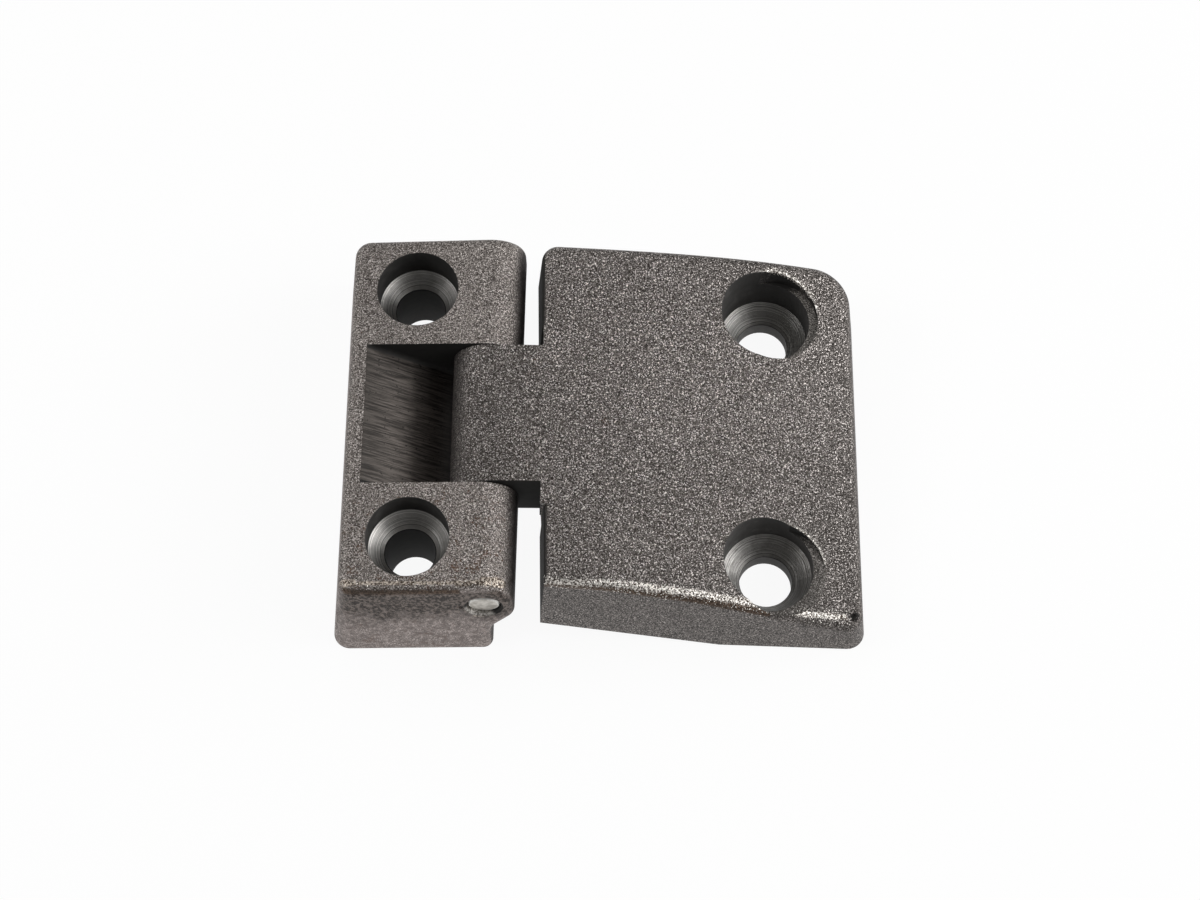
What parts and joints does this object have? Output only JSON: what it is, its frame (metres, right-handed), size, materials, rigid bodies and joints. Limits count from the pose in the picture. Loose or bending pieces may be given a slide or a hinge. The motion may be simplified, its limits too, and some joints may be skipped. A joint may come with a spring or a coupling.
{
  "type": "car door hinge",
  "caption": "Forged steel car door hinge: a pillar leaf with lugs and a tapered door leaf that turn on a pressed-in pin, with countersunk screw holes in both leaves.",
  "frame": {"origin": "midway between the two screw holes of the pillar leaf, on its flat mounting face", "axes": "+X from the pillar leaf towards the door leaf, +Y along the hinge pin, +Z out of the mounting faces towards the screw heads"},
  "size_m": [0.0952, 0.0745, 0.0224],
  "materials": {
    "pillar_steel": "shot-blasted dark grey forging with machined seats and a trace of rust",
    "door_steel": "shot-blasted dark grey forging with machined seats and a trace of rust",
    "pin_steel": "turned steel, dull"
  },
  "bodies": {
    "pillar": {"pillar_leaf": "pillar_steel", "hinge_pin": "pin_steel"},
    "door": {"door_leaf": "door_steel"}
  },
  "joints": [
    {"name": "door_swing", "type": "hinge", "parent": "pillar", "child": "door", "pos_m": [0.01335, 0, 0.01555], "axis": [0, -1, 0], "range_deg": [-30, 100]}
  ]
}
